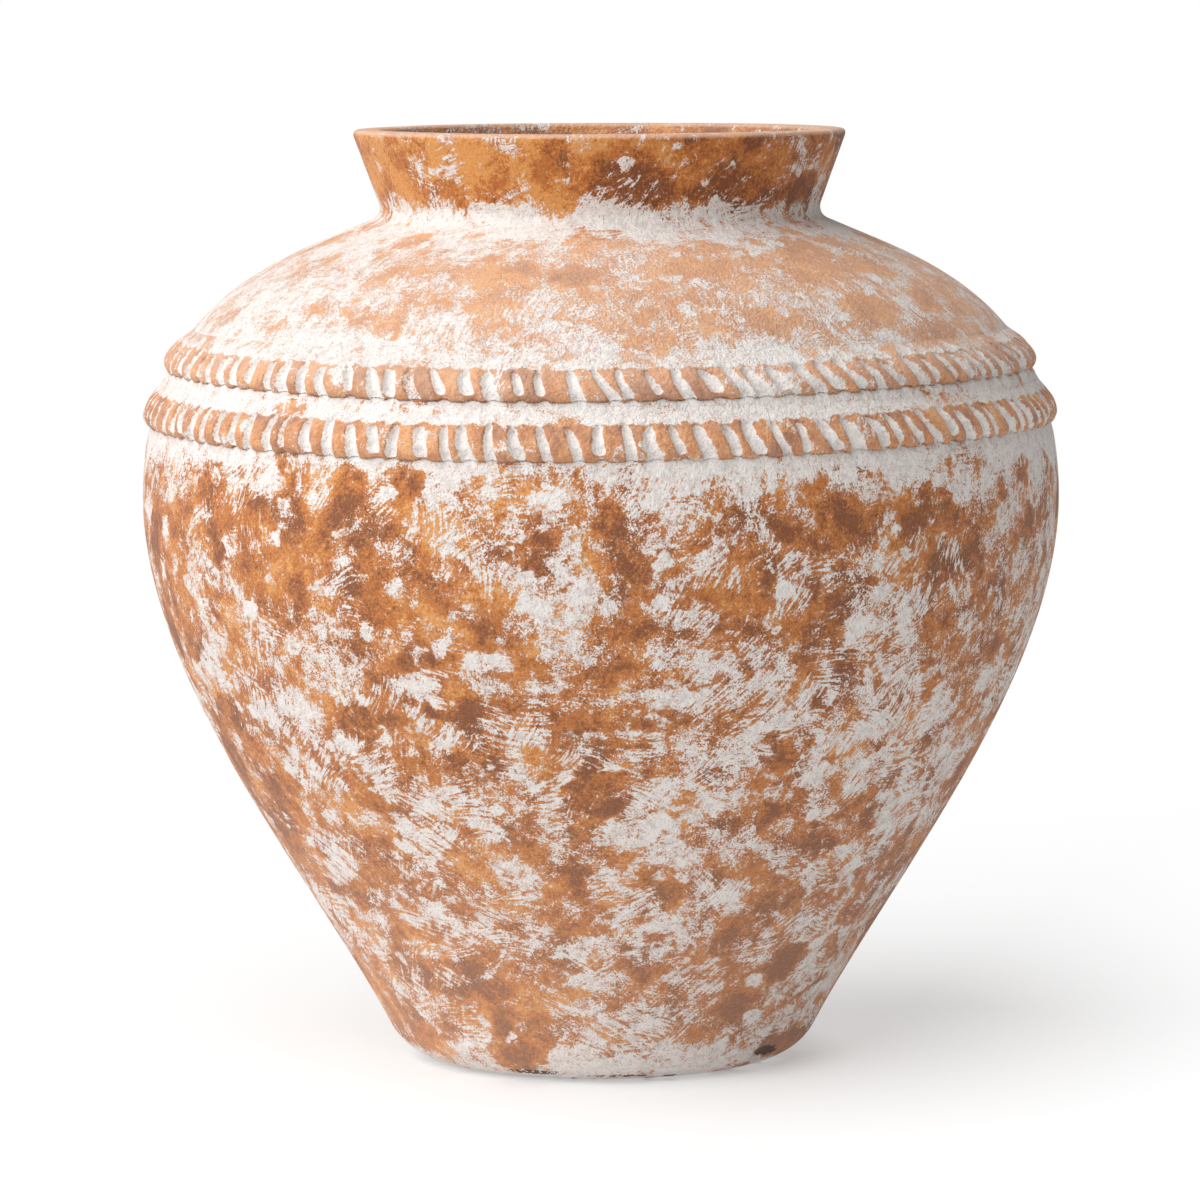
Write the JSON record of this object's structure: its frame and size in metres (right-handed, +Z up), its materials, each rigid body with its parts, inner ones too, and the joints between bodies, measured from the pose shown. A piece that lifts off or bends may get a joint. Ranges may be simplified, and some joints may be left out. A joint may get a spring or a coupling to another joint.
{
  "type": "storage jar",
  "caption": "Wide-bellied terracotta storage jar with a flared neck, rounded shoulder, small flat foot and notched rope bands, in worn limewash.",
  "frame": {"origin": "centre of the flat underside on which the jar stands", "axes": "+Z up along the axis of turning; the picture looks along +Y with +X to the right"},
  "size_m": [0.456, 0.456, 0.462],
  "materials": {
    "bare_clay": "bare fired terracotta, dry and finely pitted",
    "limewashed_wall": "worn white limewash brushed over orange-brown terracotta, matt",
    "limewashed_shoulder": "thin limewash rubbed round over pale terracotta, matt",
    "limewashed_neck": "orange-brown terracotta with flecks of limewash, matt",
    "limewashed_rope": "terracotta ribs rubbed bare, limewash left in the notches, matt"
  },
  "bodies": {
    "root": {"floor_disc": "limewashed_wall", "floor_corner_coil": "bare_clay", "lower_wall": "limewashed_wall", "middle_wall": "limewashed_wall", "belly_wall": "limewashed_wall", "shoulder": "limewashed_shoulder", "neck": "limewashed_neck", "lower_rope": "limewashed_rope", "upper_rope": "limewashed_rope"}
  },
  "joints": []
}
